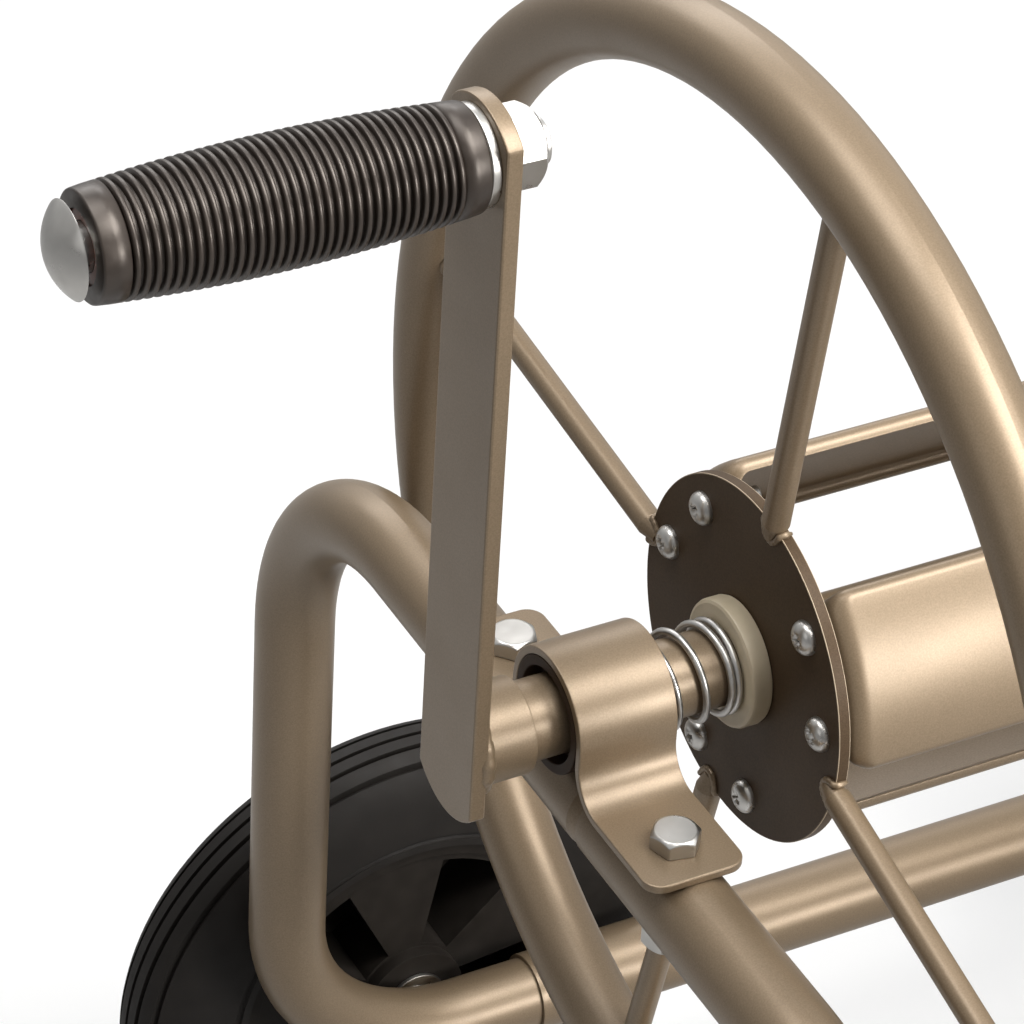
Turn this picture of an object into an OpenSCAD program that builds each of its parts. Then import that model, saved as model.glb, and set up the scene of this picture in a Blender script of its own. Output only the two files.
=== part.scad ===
// Four-wheel garden hose reel cart.
// +X runs from the crank end to the pull-handle end, along the reel's axle.
// +Z is up from the ground, and the origin lies under the middle of the cart.

/* [Reel] */
// Outer diameter over the rim hoops
reel_d = 484; // [450:1:520]
// Width between the outer faces of the two hub plates
reel_w = 512; // [440:1:560]
// Diameter of the rim hoop tube
rim_tube_d = 29; // [24:0.5:32]
// How far the hoops stand outside the hub plates
rim_dish = 5.6; // [0:0.1:10]
// Diameter of a hub plate
hub_plate_d = 133; // [128:1:140]
// Thickness of a hub plate
hub_plate_t = 4.5; // [3:0.5:6]
// Spokes on each side
spoke_n = 4; // [3:1:6]
// Diameter of a spoke
spoke_d = 10; // [8:0.5:12]
// Angle of the first spoke above level
spoke_a = 10.5; // [0:0.5:30]

/* [Drum] */
// Diameter over the long edges of the drum panels
drum_d = 138; // [134:1:146]
// Sheet-metal panels round the drum
panel_n = 3; // [2:1:4]
// Width of a panel across its long edges
panel_w = 66; // [56:1:70]
// Radius of a panel's crown
panel_crown_r = 95; // [80:1:130]
// Thickness of the panel sheet
panel_t = 1.6; // [1.2:0.1:2]
// Radius where a panel turns into its end flanges
panel_end_r = 8; // [5:0.5:9]
// Radius where a panel's long edges turn inwards
lip_r = 5; // [3:0.5:6]
// Length of the straight lip after that turn
lip_l = 5; // [2:0.5:8]
// Depth of a panel's end flanges
flange_depth = 25; // [22:0.5:28]
// Angle of the first panel above level
panel_a = 35; // [25:0.5:45]
// Distance of the hub screws from the axle
screw_circle_r = 54; // [52:0.5:56]
// Angle between a hub screw and the middle of its panel
screw_half_a = 18.5; // [16:0.5:20]

/* [Axle and crank] */
// Diameter of the reel axle
axle_d = 28.6; // [25:0.1:30]
// Wall of the axle tube
axle_wall = 3; // [2:0.1:4]
// Bare axle between bearing and crank collar
axle_show = 12; // [6:0.5:14]
// Diameter of the crank collar
collar_d = 35; // [33:0.5:38]
// Length of the crank collar
collar_l = 20; // [12:0.5:24]
// Distance from axle to grip
crank_r = 233.5; // [215:0.5:245]
// Width of the crank arm
arm_w = 38; // [32:0.5:42]
// Thickness of the crank arm
arm_t = 6; // [5:0.5:8]
// Radius of the crank arm's ends
arm_end_r = 26; // [21:0.5:30]
// Length of the arm beyond the axle
arm_tail = 28.5; // [24:0.5:34]
// Length of the arm beyond the grip bolt
arm_head = 19.5; // [18:0.5:26]

/* [Grip] */
// Largest diameter of the grip
grip_d = 42.4; // [38:0.1:44]
// Length of the grip
grip_l = 128.5; // [110:0.5:140]
// Rings along the grip
grip_ring_n = 34; // [24:1:38]
// Depth of the groove between two rings
grip_groove = 1.4; // [0.8:0.1:2]
// Length of the plain band at each end
grip_band = 9; // [6:0.5:12]
// Amount by which the grip swells at its middle
grip_swell = 3.2; // [0:0.1:4]
// Outer diameter of the sleeve that lines the grip
sleeve_d = 24; // [21:0.5:26]
// Diameter of the grip bolt
grip_bolt_d = 15.9; // [14:0.1:17]
// Diameter of the bolt's domed head
dome_d = 32; // [28:0.5:34]
// Height of the bolt's domed head
dome_h = 7; // [6:0.5:10]
// Bare shank between grip and dome
dome_gap = 4; // [2:0.5:6]

/* [Bearings] */
// Outer diameter of a bearing bush
bush_d = 43; // [41:0.5:46]
// Width of the recess in each face of the bush
bush_recess_d = 35; // [34:0.5:37]
// Depth of that recess
bush_recess = 7; // [3:0.5:9]
// Width of a bearing strap
strap_w = 38; // [34:0.5:42]
// Thickness of a bearing strap
strap_t = 3.2; // [2.5:0.1:4]
// Radius where the strap turns into its feet
strap_fillet = 13; // [8:0.5:14]
// Half the length over the strap's feet
strap_reach = 77; // [73:0.5:80]
// Distance of the strap bolts from the middle
strap_bolt_y = 59; // [56:0.5:62]
// Distance of a crossbar from its hub plate
bar_gap = 57.5; // [52:0.5:62]

/* [Frame] */
// Distance between the left and right uprights
track = 467; // [452:1:490]
// Diameter of the frame tube
tube_d = 32; // [31:0.1:33]
// Wall of the frame tube
tube_wall = 1.8; // [1.5:0.1:2]
// Centreline radius of the bends at the crossbars
bar_bend_r = 93; // [60:1:98]
// Centreline radius of the bends at the rails
bend_r = 84; // [80:1:90]
// Height of the reel axle above the ground
reel_h = 501; // [480:1:520]
// Where the two halves of a crossbar meet
bar_joint_y = 20; // [16:0.5:26]
// Length of the necked end inside the other half
neck_l = 60; // [52:1:66]
// Diameter of the lower rails
rail_d = 35.4; // [35.2:0.1:40]
// Distance of a rail's mouth from the hub plate
rail_mouth = 60; // [50:1:90]
// Length of the frame tube inside the rail
rail_lap = 60; // [50:1:70]

/* [Wheels] */
// Diameter of a wheel
wheel_d = 254; // [230:1:260]
// Width of a tyre
tyre_w = 45; // [38:1:54]
// Diameter where the tyre meets the wheel rim
tyre_seat_d = 160; // [150:1:170]
// Length of a wheel hub
wheel_hub_l = 50; // [46:1:60]
// Diameter of a wheel hub
wheel_hub_d = 46; // [40:1:50]
// Spokes of a wheel
wheel_spoke_n = 5; // [4:1:7]
// Diameter of the wheel axles
rod_d = 12.7; // [12:0.1:14]
// Distance of a wheel axle inside its hub plate
wheel_inset = 15; // [4:1:30]
// Rows of tread grooves
groove_n = 5; // [3:1:6]

/* [Brake spring] */
// Wire diameter of the spring
wire_d = 2.7; // [2.2:0.1:3]
// Mean radius of the spring
coil_r = 16.6; // [16.4:0.1:17.5]
// Open turns of the spring
open_turns = 2.2; // [1.7:0.1:3]
// Closed turns at the washer end
closed_turns = 0.3; // [0.2:0.1:1.5]
// Diameter of the nylon washer
nylon_d = 47; // [44:0.5:52]
// Thickness of the nylon washer
nylon_t = 8; // [5:0.5:9]
// Diameter of the pin through the axle
pin_d = 5; // [4:0.5:6]

/* [Pull handle] */
// Diameter of the handle tube
handle_d = 25.4; // [24:0.1:27]
// Height of the handle above its pivots
handle_h = 620; // [520:5:680]
// Centreline radius of the handle bends
handle_bend_r = 70; // [60:1:90]
// Height of the pivots above the rails
pivot_rise = 90; // [80:1:100]
// Distance of the pivots behind the uprights
pivot_back = 46; // [44:0.5:52]
// Lean of the stowed handle towards the reel
handle_lean = 3; // [1:0.5:3.5]
// Length of the foam sleeve
foam_l = 260; // [180:5:280]
// Diameter of the foam sleeve
foam_d = 36; // [32:0.5:40]

/* [Water fittings] */
// Diameter over the hose threads
thread_d = 26.7; // [26:0.1:27]
// Length of the hose threads
thread_l = 16; // [14:0.5:20]
// Diameter of the water pipes
pipe_d = 21; // [19:0.5:23]
// Bore of the water pipes
pipe_bore = 14; // [12:0.5:16]
// Diameter of the swivel body
swivel_d = 38; // [34:0.5:42]
// Diameter of the spigot inside the swivel
spigot_d = 24; // [22:0.1:25]
// Length of the swivel body
swivel_l = 30; // [26:0.5:36]
// Distance of the outlet inside the rear hub plate
outlet_inset = 80; // [70:1:100]
// Distance of the outlet thread from the axle
outlet_r = 110; // [104:1:112]

/* [Fasteners] */
// Diameter of the strap and pivot bolts
bolt_d = 10; // [9:0.1:10.5]
// Width across the flats of their heads
bolt_af = 16; // [15:0.5:17]
// Height of their heads
bolt_head_h = 6.6; // [6:0.1:7.5]
// Diameter of the hub screws
screw_d = 6; // [5:0.1:6.2]
// Diameter of the hub screws' heads
screw_head_d = 12.6; // [11:0.1:13.5]
// Length of the hub screws
screw_l = 22; // [18:0.5:26]

/* [Clearances] */
// Radial gap of a running fit
run_gap = 0.06; // [0.03:0.01:0.09]
// Radial gap of a hole round its bolt
hole_gap = 0.3; // [0.1:0.05:0.4]
// Gap between faces that turn past each other
face_gap = 0.3; // [0.2:0.05:0.4]

/* [Hidden] */
$fn = 72;

bronze = "#8f7a5f";
dark_bronze = "#3b3026";
zinc = "#c9c9c5";
black = "#2a2828";
nylon = "#d8cba6";

// Stations along X, measured outwards from a hub plate's outer face.
bearing_out = bar_gap + strap_w / 2;
bearing_in = bar_gap - strap_w / 2;
collar_in = bearing_out + axle_show;
arm_in = collar_in + collar_l;
arm_out = arm_in + arm_t;
grip_washer_t = 3.2;
grip_in = arm_out + grip_washer_t + face_gap;
grip_out = grip_in + grip_l;
dome_in = grip_out + dome_gap;
crank_reach = dome_in + dome_h;
axle_end_gap = 7;
swivel_in = bearing_out + axle_end_gap;
swivel_reach = swivel_in + swivel_l;

// The crank's dome and the furthest rear piece bound the cart, and the origin is midway.
bracket_h = 34;
rear_reach = max(swivel_reach, bar_gap + pivot_back + bracket_h / 2);
cart_l = crank_reach + reel_w + rear_reach;
front_x = crank_reach - cart_l / 2;
rear_x = front_x + reel_w;

// Heights below the reel axle.
bush_r = bush_d / 2;
tube_r = tube_d / 2;
bar_drop = bush_r + face_gap + tube_r;
rail_drop = reel_h - wheel_d / 2;
half_track = track / 2;

rim_r = reel_d / 2 - rim_tube_d / 2;
neck_d = tube_d - 2 * tube_wall - 0.4;
neck_taper = 6;
rail_bore = tube_d + 0.4;
cap_t = 6;
washer_t = 2;
wheel_y = half_track + tube_r + washer_t + wheel_hub_l / 2 + 2 * face_gap;
rod_end_y = wheel_y + wheel_hub_l / 2 + washer_t + face_gap + 4;

// A frame at the reel's axle on the crank end's hub plate: -x points outwards.
module at_front() translate([front_x, 0, reel_h]) children();
// The same frame at the other hub plate, turned so that -x points outwards again.
module at_rear() translate([rear_x, 0, reel_h]) mirror([1, 0, 0]) children();
module at_both() { at_front() children(); at_rear() children(); }
module left_and_right() { children(); mirror([0, 1, 0]) children(); }

// Lay something that stands along +Z along +X or +Y.
module along_x() rotate([0, 90, 0]) children();
module along_y() rotate([-90, 0, 0]) children();

module rod(d, l) cylinder(d = d, h = l);
module ring(d, bore, l) difference() { rod(d, l); translate([0, 0, -1]) rod(bore, l + 2); }
module hex(af, h) cylinder(d = af / cos(30), h = h, $fn = 6);

// A quarter of a bent tube of centreline radius r, from +x to +y.
module elbow(d, r) rotate_extrude(angle = 90) translate([r, 0]) circle(d = d);

// A hexagon whose far edge is turned off to a cone.
module hex_head(af, h) {
    chamfer = af * 0.09;
    intersection() {
        hex(af, h);
        union() {
            cylinder(d = af * 1.3, h = h - chamfer);
            translate([0, 0, h - chamfer]) cylinder(d1 = af / cos(30), d2 = af * 0.92, h = chamfer);
        }
    }
}

module hex_nut(d, af, h) difference() {
    hex_head(af, h);
    translate([0, 0, -1]) rod(d + 2 * run_gap, h + 2);
}

// A bolt whose head sits on z = 0 and whose shank hangs below it.
module hex_bolt(d, af, h, l) {
    hex_head(af, h);
    translate([0, 0, -l]) rod(d, l + 0.5);
}

// A low domed head of diameter d and height h on z = 0.
module dome(d, h) {
    cap_r = (d * d / 4 + h * h) / (2 * h);
    intersection() {
        translate([0, 0, h - cap_r]) sphere(r = cap_r);
        rod(d + 1, h + 1);
    }
}

module pan_screw(d, head_d, head_h, l) {
    dome(head_d, head_h);
    translate([0, 0, -l]) rod(d, l + 0.5);
}

// ---------- frame ----------

// The run of one frame tube: half a crossbar, its upright and the start of the rail.
module loop_run(d, y_start, x_end) {
    straight_y = half_track - bar_bend_r - y_start;
    upright = rail_drop - bar_drop - bar_bend_r - bend_r;
    translate([-bar_gap, y_start, -bar_drop]) along_y() rod(d, straight_y);
    translate([-bar_gap, half_track - bar_bend_r, -bar_drop - bar_bend_r]) rotate([90, 0, 90])
        elbow(d, bar_bend_r);
    translate([-bar_gap, half_track, -rail_drop + bend_r]) rod(d, upright);
    translate([-bar_gap + bend_r, half_track, -rail_drop + bend_r])
        rotate([90, 0, 0]) rotate([0, 0, 180]) elbow(d, bend_r);
    translate([-bar_gap + bend_r, half_track, -rail_drop]) along_x() rod(d, x_end + bar_gap - bend_r);
}

// Holes for the wheel axle and the rail's screw, on the +y side.
module loop_side_holes() {
    translate([wheel_inset, half_track - tube_d, -rail_drop]) along_y() rod(rod_d + 2 * hole_gap, 2 * tube_d);
    translate([rail_mouth + rail_lap / 2, half_track, -rail_drop]) along_y() rod(rail_screw_d + 0.2, tube_d);
}

module strap_bolt_hole(y) translate([-bar_gap, y, -bar_drop - tube_d]) rod(bolt_d + 2 * hole_gap, 2 * tube_d);

// The half with the socket: its crossbar end slips over the other half's neck.
module loop_socket() color(bronze) difference() {
    loop_run(tube_d, bar_joint_y, rail_mouth + rail_lap);
    loop_run(tube_d - 2 * tube_wall, bar_joint_y - 1, rail_mouth + rail_lap + 1);
    loop_side_holes();
    strap_bolt_hole(strap_bolt_y);
}

// The half with the neck, which runs past the middle of the crossbar.
module loop_neck() color(bronze) {
    shoulder_y = -bar_joint_y + 0.5 + neck_taper;
    difference() {
        union() {
            loop_run(tube_d, shoulder_y, rail_mouth + rail_lap);
            translate([-bar_gap, -bar_joint_y + 0.5, -bar_drop]) along_y()
                cylinder(d1 = neck_d, d2 = tube_d, h = neck_taper);
            translate([-bar_gap, -bar_joint_y - neck_l, -bar_drop]) along_y() rod(neck_d, neck_l + 0.5);
        }
        loop_run(tube_d - 2 * tube_wall, shoulder_y, rail_mouth + rail_lap + 1);
        translate([-bar_gap, -bar_joint_y - neck_l - 1, -bar_drop]) along_y()
            rod(neck_d - 2 * tube_wall, neck_l + neck_taper + 2);
        loop_side_holes();
        strap_bolt_hole(strap_bolt_y);
        strap_bolt_hole(-strap_bolt_y);
    }
}

rail_screw_d = 5;
module rail() color(bronze) difference() {
    translate([front_x + rail_mouth, half_track, reel_h - rail_drop]) along_x()
        ring(rail_d, rail_bore, reel_w - 2 * rail_mouth);
    at_both() translate([rail_mouth + rail_lap / 2, half_track, -rail_drop]) along_y()
        rod(rail_screw_d + 0.2, tube_d);
}

module rail_screws() color(zinc) at_both() left_and_right()
    translate([rail_mouth + rail_lap / 2, half_track + rail_d / 2, -rail_drop]) along_y()
        pan_screw(rail_screw_d, 10, 3, 7);

module wheel_axle() color(zinc)
    translate([wheel_inset, -rod_end_y, -rail_drop]) along_y() rod(rod_d, 2 * rod_end_y);

module axle_washers() color(zinc) at_both() left_and_right() {
    translate([wheel_inset, half_track + tube_r + face_gap, -rail_drop]) along_y()
        ring(26, rod_d + 2 * run_gap, washer_t);
    translate([wheel_inset, wheel_y + wheel_hub_l / 2 + face_gap, -rail_drop]) along_y()
        ring(26, rod_d + 2 * run_gap, washer_t);
}

// Push-on caps that hold the wheels on their axles.
module axle_end_caps() color(zinc) at_both() left_and_right()
    translate([wheel_inset, wheel_y + wheel_hub_l / 2 + face_gap + washer_t, -rail_drop]) along_y()
        difference() {
            union() {
                ring(24, rod_d + 2 * run_gap, 1.5);
                rod(18, 3);
                translate([0, 0, 3]) dome(18, 4);
            }
            translate([0, 0, -1]) rod(rod_d + 2 * run_gap, 5);
        }

// ---------- bearings ----------

// One side of the strap's outline, from the crown of the arch to the foot's tip.
module strap_side() {
    outer_r = bush_r + strap_t;
    foot_z = -bar_drop + tube_r;
    fillet_y = outer_r + strap_fillet;
    fillet_z = foot_z + strap_t + strap_fillet;
    intersection() {
        difference() { circle(r = outer_r); circle(r = bush_r); }
        square([outer_r + 1, outer_r + 1]);
    }
    translate([bush_r, fillet_z]) square([strap_t, -fillet_z]);
    intersection() {
        translate([fillet_y, fillet_z]) difference() {
            circle(r = strap_fillet + strap_t);
            circle(r = strap_fillet);
        }
        translate([bush_r, foot_z]) square([fillet_y - bush_r, fillet_z - foot_z]);
    }
    translate([fillet_y, foot_z]) square([strap_reach - fillet_y, strap_t]);
}

module bearing_strap() color(bronze) {
    corner = 7;
    difference() {
        intersection() {
            translate([-bearing_out, 0, 0]) rotate([90, 0, 90]) linear_extrude(height = strap_w) {
                strap_side();
                mirror([1, 0]) strap_side();
            }
            translate([-bar_gap, 0, -bar_drop]) union() {
                translate([-strap_w / 2, -strap_reach + corner, 0])
                    cube([strap_w, 2 * strap_reach - 2 * corner, 2 * bar_drop]);
                translate([-strap_w / 2 + corner, -strap_reach, 0])
                    cube([strap_w - 2 * corner, 2 * strap_reach, 2 * bar_drop]);
                for (sx = [-1, 1], sy = [-1, 1])
                    translate([sx * (strap_w / 2 - corner), sy * (strap_reach - corner), 0])
                        cylinder(r = corner, h = 2 * bar_drop);
            }
        }
        left_and_right() strap_bolt_hole(strap_bolt_y);
    }
}

module bearing_bush() color(black) translate([-bearing_out, 0, 0]) along_x() difference() {
    rod(bush_d - 0.1, strap_w);
    translate([0, 0, -1]) rod(axle_d + 2 * run_gap, strap_w + 2);
    translate([0, 0, -1]) rod(bush_recess_d, bush_recess + 1);
    translate([0, 0, strap_w - bush_recess]) rod(bush_recess_d, bush_recess + 1);
}

module strap_bolts() color(zinc) at_both() left_and_right() {
    foot_top = -bar_drop + tube_r + strap_t;
    nut_h = 8;
    translate([-bar_gap, strap_bolt_y, foot_top]) rotate([0, 0, 12])
        hex_bolt(bolt_d, bolt_af, bolt_head_h, strap_t + tube_d + nut_h + 2);
    translate([-bar_gap, strap_bolt_y, -bar_drop - tube_r]) rotate([180, 0, 12])
        hex_nut(bolt_d, bolt_af, nut_h);
}

// ---------- reel ----------

// The axle tube, drilled for its pin, with the swivel's spigot at the far end.
module reel_axle() color(bronze) difference() {
    union() {
        translate([front_x - arm_in, 0, reel_h]) along_x() rod(axle_d, arm_in + reel_w + swivel_in);
        translate([rear_x + swivel_in - 1, 0, reel_h]) along_x() rod(spigot_d, swivel_l - 6);
    }
    translate([front_x - arm_in - 1, 0, reel_h]) along_x()
        rod(axle_d - 2 * axle_wall, arm_in + reel_w + swivel_in - 4);
    translate([rear_x, 0, reel_h]) along_x() rod(pipe_bore, swivel_reach);
    at_front() translate([-pin_out, 0, -axle_d]) rod(pin_d, axle_d);
    outlet_place() rod(pipe_bore, axle_d);
}

module crank_arm() color(bronze) at_front() {
    low_z = arm_end_r - arm_tail;
    high_z = crank_r + arm_head - arm_end_r;
    difference() {
        union() {
            intersection() {
                translate([-arm_out, -arm_w / 2, -arm_tail]) cube([arm_t, arm_w, arm_tail + crank_r + arm_head]);
                union() {
                    translate([-arm_out, 0, low_z]) along_x() rod(2 * arm_end_r, arm_t);
                    translate([-arm_out, 0, high_z]) along_x() rod(2 * arm_end_r, arm_t);
                    translate([-arm_out, -arm_w / 2, low_z]) cube([arm_t, arm_w, high_z - low_z]);
                }
            }
            translate([-arm_in - 1, 0, 0]) along_x() rod(collar_d, collar_l + 1);
        }
        translate([-arm_in, 0, 0]) along_x() rod(axle_d + 2 * run_gap, collar_l + 1);
        translate([-arm_out - 1, 0, crank_r]) along_x() rod(grip_bolt_d + 2 * run_gap, arm_t + 2);
    }
}

module hub_hole_places() for (i = [0 : panel_n - 1], side = [-1, 1])
    rotate([panel_a + i * 360 / panel_n + side * screw_half_a, 0, 0])
        translate([0, screw_circle_r, 0]) children();

// The mirrored rear end would turn the pattern over, so it is laid out in cart axes.
module each_panel_side(end) translate([end > 0 ? rear_x : front_x, 0, reel_h]) children();

module hub_plate(end) color(dark_bronze) each_panel_side(end) difference() {
    translate([end > 0 ? -hub_plate_t : 0, 0, 0]) along_x() rod(hub_plate_d, hub_plate_t);
    translate([-2 * hub_plate_t, 0, 0]) along_x() rod(axle_d + 2 * run_gap, 4 * hub_plate_t);
    hub_hole_places() translate([-2 * hub_plate_t, 0, 0]) along_x() rod(screw_d + 2 * hole_gap, 4 * hub_plate_t);
}

module rim_hoop() color(bronze) translate([-rim_dish, 0, 0]) along_x()
    rotate_extrude() translate([rim_r, 0]) circle(d = rim_tube_d);

// Spokes lap over the plate's edge and are notched round it and round the hoop.
module spokes() color(bronze) {
    lap = 5;
    tip_l = 7;
    inner_r = hub_plate_d / 2 - lap;
    inner_x = 1;
    tilt = atan((rim_dish + inner_x) / (rim_r - inner_r));
    difference() {
        for (i = [0 : spoke_n - 1]) rotate([spoke_a + i * 360 / spoke_n, 0, 0])
            translate([inner_x, inner_r, 0]) rotate([0, 0, tilt]) along_y() {
                cylinder(d1 = spoke_d * 0.6, d2 = spoke_d, h = tip_l);
                translate([0, 0, tip_l]) rod(spoke_d, rim_r - inner_r - tip_l);
            }
        along_x() rod(hub_plate_d, hub_plate_t);
        translate([-rim_dish, 0, 0]) along_x() rotate_extrude() translate([rim_r, 0]) circle(d = rim_tube_d);
    }
}

// Section of a panel through its crown: the sheet and its two rounded end flanges.
module panel_section(l) {
    r = panel_crown_r;
    translate([r - panel_t, panel_end_r]) square([panel_t, l - 2 * panel_end_r]);
    for (end = [0, 1]) translate([0, end * l]) mirror([0, end]) {
        translate([r - flange_depth, 0]) square([flange_depth - panel_end_r, panel_t]);
        intersection() {
            translate([r - panel_end_r, panel_end_r]) difference() {
                circle(r = panel_end_r);
                circle(r = panel_end_r - panel_t);
            }
            translate([r - panel_end_r, 0]) square(panel_end_r);
        }
    }
}

// One long edge of a panel, in the section across it: a turn inwards and a straight lip.
// Each piece starts a little inside the one before it.
module panel_lip() {
    turn = 75;
    far = 3 * lip_r;
    start = 20;
    step = 0.15;
    translate([panel_crown_r - lip_r - step, -lip_r * 0.24]) {
        intersection() {
            difference() {
                circle(r = lip_r);
                circle(r = lip_r - panel_t);
            }
            polygon([[0, 0], [far, -far * tan(start)], [far, far], [far * cos(turn), far * sin(turn)]]);
        }
        rotate(turn) translate([lip_r - panel_t + 0.1, -0.5]) square([panel_t - 0.2, lip_l + 0.5]);
    }
}

module drum_panel(i) color(bronze) {
    half_a = asin(panel_w / 2 / panel_crown_r);
    edge_u = sqrt(drum_d * drum_d / 4 - panel_w * panel_w / 4);
    shift = edge_u - panel_crown_r * cos(half_a);
    l = reel_w - 2 * hub_plate_t;
    translate([front_x + hub_plate_t, 0, reel_h]) rotate([panel_a + i * 360 / panel_n, 0, 0])
        difference() {
            translate([0, shift, 0]) union() {
                rotate([0, 90, 0]) rotate([0, 0, 90 - half_a])
                    rotate_extrude(angle = 2 * half_a) panel_section(l);
                for (side = [0, 1]) mirror([0, 0, side]) rotate([half_a, 0, 0])
                    translate([panel_end_r, 0, 0]) rotate([90, 0, 90])
                    linear_extrude(height = l - 2 * panel_end_r) panel_lip();
            }
            for (side = [-1, 1]) rotate([side * screw_half_a, 0, 0])
                translate([-1, screw_circle_r, 0]) along_x() rod(screw_d + 2 * hole_gap, l + 2);
        }
}

module hub_screws() color(zinc) {
    nut_h = 5;
    for (end = [-1, 1]) each_panel_side(end) hub_hole_places() {
        rotate([0, end * 90, 0]) pan_screw(screw_d, screw_head_d, 4.4, screw_l);
        translate([-end * (hub_plate_t + panel_t), 0, 0]) rotate([0, -end * 90, 0]) hex_nut(screw_d, 10, nut_h);
    }
}

// ---------- brake spring ----------
spring_start = bearing_in - face_gap - wire_d / 2;
spring_end = nylon_t + wire_d / 2;
closed_start = spring_end + closed_turns * wire_d * 1.02;
open_pitch = (spring_start - closed_start) / open_turns;
spring_a = 247;
pin_out = coil_out(spring_a / 360 + 0.75);

// Distance outside the hub plate after a number of turns, counted from the washer.
function coil_out(turn) = turn < closed_turns
    ? spring_end + turn * wire_d * 1.02
    : closed_start + (turn - closed_turns) * open_pitch;

module brake_spring() color(zinc) at_front() {
    turns = closed_turns + open_turns;
    steps = 20;
    sides = 8;
    n = round(turns * steps);
    first_a = spring_a;
    points = [for (i = [0 : n], k = [0 : sides - 1])
        let (turn = i / steps, a = first_a - 360 * turn, b = 360 * k / sides,
            r = coil_r + wire_d / 2 * cos(b))
        [-coil_out(turn) + wire_d / 2 * sin(b), r * cos(a), r * sin(a)]];
    walls = [for (i = [0 : n - 1], k = [0 : sides - 1])
        let (j = (k + 1) % sides)
        [i * sides + k, (i + 1) * sides + k, (i + 1) * sides + j, i * sides + j]];
    start_cap = [[for (k = [0 : sides - 1]) k]];
    end_cap = [[for (k = [sides - 1 : -1 : 0]) n * sides + k]];
    polyhedron(points, concat(walls, start_cap, end_cap));
}

module nylon_washer() color(nylon) at_front() translate([-nylon_t, 0, 0]) along_x()
    ring(nylon_d, axle_d + 2 * run_gap, nylon_t);

module axle_pin() color(dark_bronze) at_front()
    translate([-pin_out, 0, -axle_d / 2 - 4.5]) rod(pin_d - 0.1, 4.5 + axle_wall);

// ---------- grip ----------

// Radius of the grip's skin at a share t of its length.
function grip_r(t) = grip_d / 2 - grip_swell * pow(2 * t - 1, 2);

module crank_grip() color(black) at_front() translate([-grip_in, 0, crank_r]) rotate([0, -90, 0]) {
    pitch = (grip_l - 2 * grip_band) / grip_ring_n;
    rings = [for (i = [0 : grip_ring_n - 1], p = [[0.12, 1], [0.3, 0], [0.7, 0], [0.88, 1]])
        let (z = grip_band + (i + p[0]) * pitch)
        [grip_r(z / grip_l) - p[1] * grip_groove, z]];
    rotate_extrude() polygon(concat(
        [[sleeve_d / 2, 0], [grip_r(0) - 0.8, 0], [grip_r(0), 0.8], [grip_r(0), grip_band]],
        rings,
        [[grip_r(1), grip_l - grip_band], [grip_r(1), grip_l - 0.8], [grip_r(1) - 0.8, grip_l],
            [sleeve_d / 2, grip_l]]));
}

module grip_sleeve() color("#7a3b26") at_front() translate([-grip_out + 1, 0, crank_r]) along_x()
    ring(sleeve_d, grip_bolt_d + 2 * run_gap, grip_l - 1);

// A bolt with a domed head and a square neck, like a carriage bolt.
module grip_bolt() color(zinc) at_front() translate([0, 0, crank_r]) {
    translate([-dome_in, 0, 0]) rotate([0, -90, 0]) dome(dome_d, dome_h);
    translate([-dome_in - 0.5, 0, 0]) along_x() rod(grip_bolt_d, dome_in - arm_in + grip_nut_h + 3.5);
}

grip_nut_h = 13;
module grip_nut() color(zinc) at_front() translate([-arm_in, 0, crank_r]) along_x()
    rotate([0, 0, 20]) hex_nut(grip_bolt_d, 24, grip_nut_h);

module grip_washer() color(zinc) at_front() translate([-arm_out - grip_washer_t, 0, crank_r]) along_x()
    ring(34, grip_bolt_d + 2 * run_gap, grip_washer_t);

// ---------- water fittings ----------

outlet_a = 230;
module outlet_place() translate([rear_x - outlet_inset, 0, reel_h]) rotate([outlet_a - 90, 0, 0]) children();

// The pipe that carries water from the hollow axle out between two drum panels.
module outlet_pipe() color(zinc) outlet_place() difference() {
    bend = 22;
    end_x = -bend - 12;
    union() {
        rod(pipe_d, outlet_r - bend);
        translate([-bend, 0, outlet_r - bend]) rotate([90, 0, 0]) elbow(pipe_d, bend);
        translate([end_x, 0, outlet_r]) along_x() rod(pipe_d, 12);
        translate([end_x, 0, outlet_r]) along_x() hex(28, 7);
        translate([end_x - thread_l, 0, outlet_r]) along_x() rod(thread_d, thread_l);
    }
    translate([0, 0, -1]) rod(pipe_bore, outlet_r - bend + 1);
    translate([-bend, 0, outlet_r - bend]) rotate([90, 0, 0]) elbow(pipe_bore, bend);
    translate([end_x - thread_l - 1, 0, outlet_r]) along_x() rod(pipe_bore, thread_l + 13);
    translate([-outlet_inset, 0, 0]) along_x() rod(axle_d, 2 * outlet_inset);
}

// An elbow that turns on the axle's spigot, with its hose thread hanging down.
module inlet_swivel() color("#b08d4a") at_rear() {
    leg_x = -(swivel_in + swivel_reach) / 2 - face_gap / 2;
    leg_l = 34;
    translate([-swivel_reach, 0, 0]) difference() {
        union() {
            along_x() rod(swivel_d, swivel_l - face_gap);
            translate([leg_x + swivel_reach, 0, -leg_l]) rod(pipe_d + 2, leg_l);
            translate([leg_x + swivel_reach, 0, -leg_l - 7]) hex(30, 8);
            translate([leg_x + swivel_reach, 0, -leg_l - 7 - thread_l]) rod(thread_d, thread_l + 1);
        }
        translate([5, 0, 0]) along_x() rod(spigot_d + 2 * run_gap, swivel_l);
        translate([leg_x + swivel_reach, 0, -leg_l - 8 - thread_l]) rod(pipe_bore, leg_l + 8 + thread_l);
    }
}

// ---------- pull handle ----------

module at_pivot() translate([-bar_gap - pivot_back, 0, pivot_rise - rail_drop]) children();

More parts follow.
